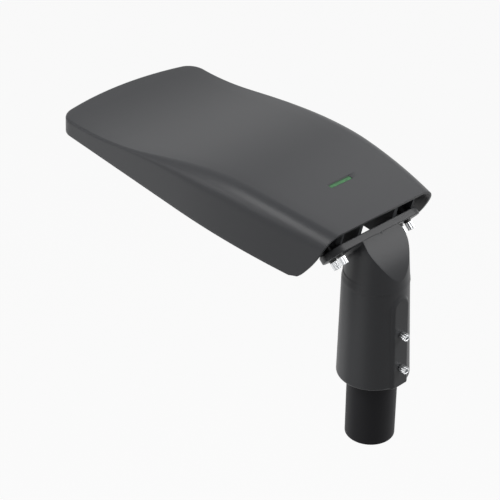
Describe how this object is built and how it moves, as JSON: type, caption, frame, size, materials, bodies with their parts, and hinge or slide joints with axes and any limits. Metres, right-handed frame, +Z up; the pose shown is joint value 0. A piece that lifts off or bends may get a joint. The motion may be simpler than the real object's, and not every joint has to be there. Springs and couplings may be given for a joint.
{
  "type": "street light",
  "caption": "Pole-top road luminaire: curved dark die-cast head with glass optics and hinged gear cover, on a slanted flange spigot clamped to a round pole.",
  "frame": {"origin": "centre of the lower end of the pole stub", "axes": "+Z up along the pole, +Y the way the head reaches out, +X to the right seen from behind the head"},
  "size_m": [0.2208, 0.5083, 0.3213],
  "materials": {
    "pole_paint": "matt powder coat",
    "dark_paint": "fine-texture dark grey powder coat on cast aluminium",
    "inner_paint": "dark grey powder coat on cast aluminium",
    "bright_steel": "bright stainless steel",
    "zinc_steel": "zinc-plated steel",
    "black_rubber": "matt black rubber",
    "clear_glass": "clear toughened glass",
    "clear_plastic": "clear moulded lens",
    "white_board": "white solder mask",
    "yellow_phosphor": "yellow phosphor dome",
    "driver_case": "light grey moulded case",
    "red_plastic": "dull red moulded case",
    "ivory_plastic": "ivory moulded plastic",
    "black_plastic": "black moulded plastic",
    "earth_brass": "plain brass",
    "green_inlay": "dark inlay with a green sheen"
  },
  "bodies": {
    "pole": {"pole_stub": "pole_paint"},
    "head": {"spigot": "dark_paint", "flange_screws": "bright_steel", "housing": "dark_paint", "chassis": "inner_paint", "chassis_screws": "bright_steel", "hinge_pins": "bright_steel", "front_glass": "clear_glass", "glass_gasket": "black_rubber", "glass_clips": "zinc_steel", "clip_screws": "bright_steel", "led_boards": "white_board", "led_chips": "yellow_phosphor", "lens_arrays": "clear_plastic", "board_screws": "bright_steel", "gear_tray": "zinc_steel", "gear_screws": "bright_steel", "led_driver": "driver_case", "surge_protector": "red_plastic", "terminal_block": "ivory_plastic", "cable_gland": "black_plastic", "cable_clamp": "black_plastic", "earth_screw": "earth_brass", "vent_plug": "black_plastic", "badge_insert": "green_inlay"},
    "gear_door": {"gear_cover": "dark_paint", "cover_gasket": "black_rubber"},
    "latch": {"cover_latch": "zinc_steel"},
    "upper_screw": {"clamp_screw_upper": "bright_steel"},
    "lower_screw": {"clamp_screw_lower": "bright_steel"}
  },
  "joints": [
    {"name": "spigot_turn", "type": "hinge", "parent": "pole", "child": "head", "pos_m": [0, 0, 0.183], "axis": [0, 0, 1], "range_deg": [-180, 180]},
    {"name": "gear_cover_hinge", "type": "hinge", "parent": "head", "child": "gear_door", "pos_m": [0, 0.19787, 0.2605], "axis": [1, 0, 0], "range_deg": [0, 90]},
    {"name": "latch_turn", "type": "hinge", "parent": "gear_door", "child": "latch", "pos_m": [0, 0.09128, 0.25118], "axis": [0, 0.0872, -0.9962], "range_deg": [0, 90]},
    {"name": "upper_clamp_slide", "type": "slide", "parent": "head", "child": "upper_screw", "axis": [0, -1, 0], "range_m": [0, 0.008]},
    {"name": "lower_clamp_slide", "type": "slide", "parent": "head", "child": "lower_screw", "axis": [0, -1, 0], "range_m": [0, 0.008]}
  ]
}
